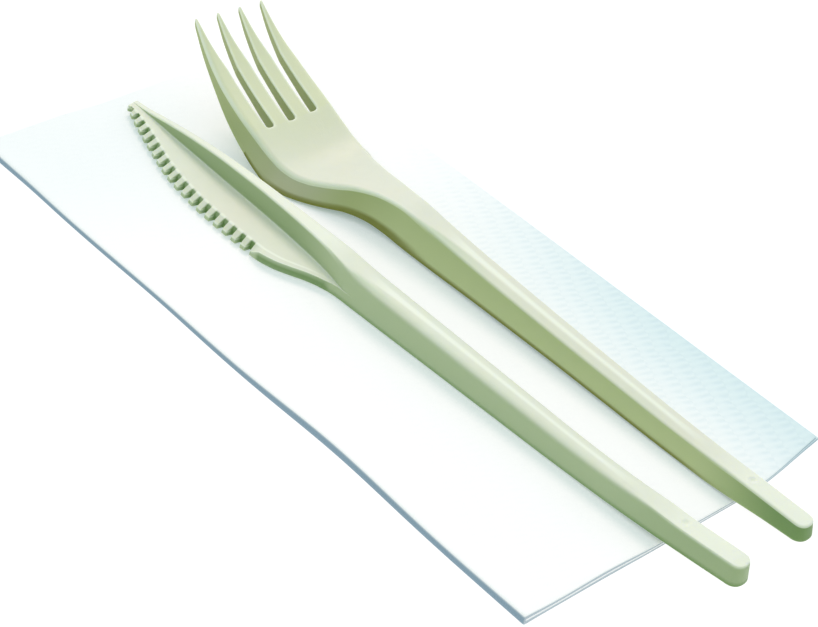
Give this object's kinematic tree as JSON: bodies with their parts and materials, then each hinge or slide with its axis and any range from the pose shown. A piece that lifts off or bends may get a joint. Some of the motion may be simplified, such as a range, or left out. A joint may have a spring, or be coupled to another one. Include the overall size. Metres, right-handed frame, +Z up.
{
  "type": "plastic cutlery pack",
  "caption": "Knife and fork of cream bioplastic laid side by side on a paper napkin folded in eighths, as handed out with a takeaway meal.",
  "frame": {"origin": "middle of the folded napkin's underside, on the table", "axes": "+Y along the handles towards the tines and the blade's tip, +X from the knife to the fork, +Z up"},
  "size_m": [0.0757, 0.167, 0.0215],
  "materials": {
    "bioplastic": "cream plant-starch plastic, satin",
    "tissue": "white tissue paper, embossed, matte"
  },
  "bodies": {
    "root": {"knife": "bioplastic", "fork": "bioplastic", "napkin": "tissue"}
  },
  "joints": []
}
